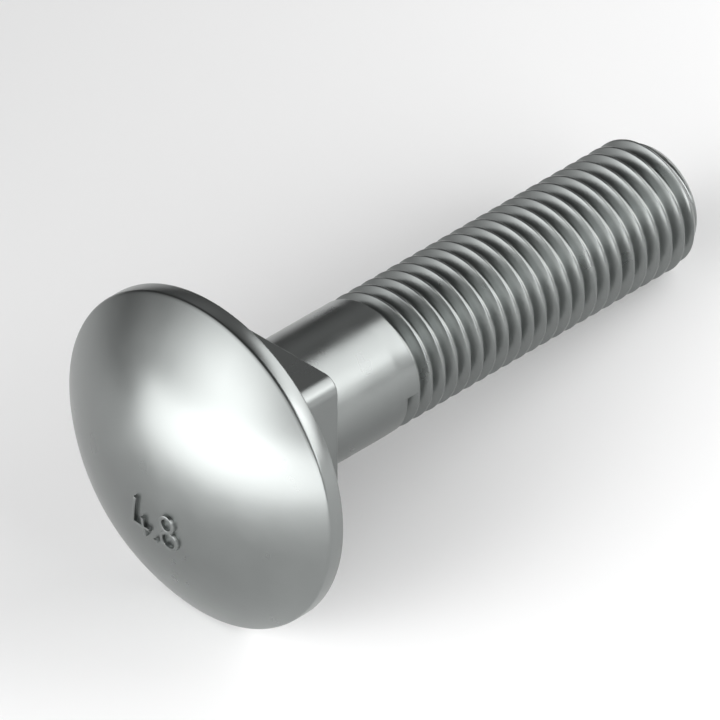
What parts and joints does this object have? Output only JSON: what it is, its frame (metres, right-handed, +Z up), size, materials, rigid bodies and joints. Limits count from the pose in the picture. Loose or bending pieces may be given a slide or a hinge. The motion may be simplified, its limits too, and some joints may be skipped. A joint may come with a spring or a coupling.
{
  "type": "carriage bolt",
  "caption": "Carriage bolt with a low domed round head, a square neck under it, a plain shank and a fine-threaded end with a short cone.",
  "frame": {"origin": "middle of the base of the bounding box: on the floor, under the middle of the bolt as it lies at rest", "axes": "+Z up; the bolt's axis lies in the XZ plane, with the dome toward -X and the threaded end toward +X, and dips 10.66 degrees toward the end"},
  "size_m": [0.04, 0.0206, 0.0204],
  "materials": {
    "bolt": "satin bright zinc"
  },
  "bodies": {
    "root": {"bolt": "bolt"}
  },
  "joints": []
}
